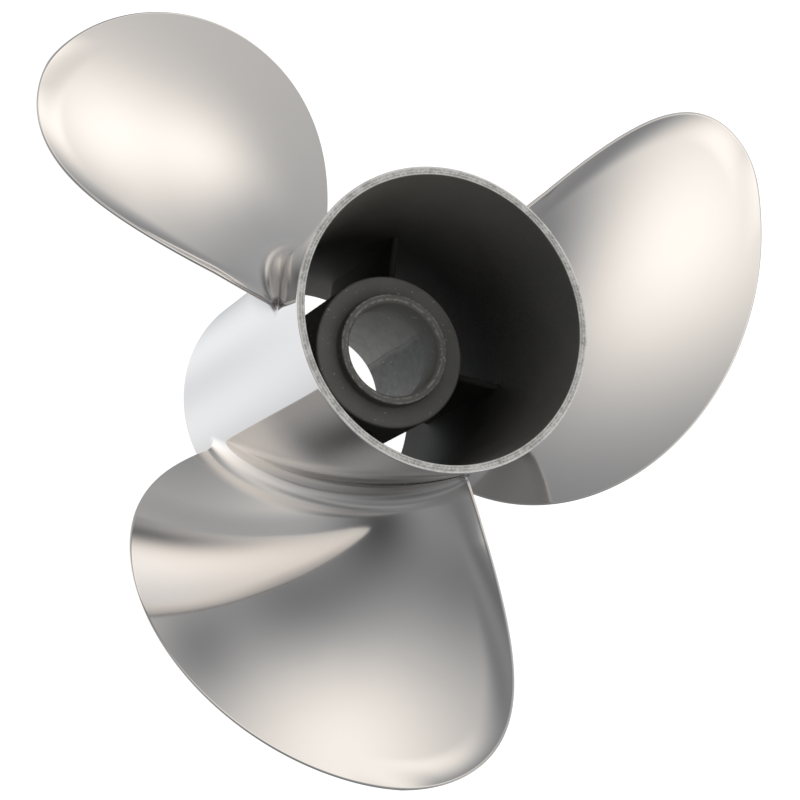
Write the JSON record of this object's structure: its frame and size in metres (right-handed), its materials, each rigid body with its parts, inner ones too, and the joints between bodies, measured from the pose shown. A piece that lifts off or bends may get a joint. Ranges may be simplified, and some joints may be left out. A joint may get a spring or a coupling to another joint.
{
  "type": "outboard motor propeller",
  "caption": "Polished stainless steel outboard motor propeller with wide skewed right-hand blades and a through-hub exhaust barrel.",
  "frame": {"origin": "on the shaft axis at the height of the centre of mass, 79.1 mm aft of the barrel's front face", "axes": "+Z along the shaft axis, aft, where the water and the exhaust leave; +X along one of the ribs"},
  "size_m": [0.3084, 0.2865, 0.1524],
  "materials": {
    "polished_steel": "mirror polished stainless steel",
    "dark_cast": "dark, matt, as cast stainless steel"
  },
  "bodies": {
    "root": {"barrel": "polished_steel", "inner_hub": "dark_cast", "rib_1": "dark_cast", "rib_2": "dark_cast", "rib_3": "dark_cast", "rib_4": "dark_cast", "blade_1": "polished_steel", "blade_2": "polished_steel", "blade_3": "polished_steel"}
  },
  "joints": []
}
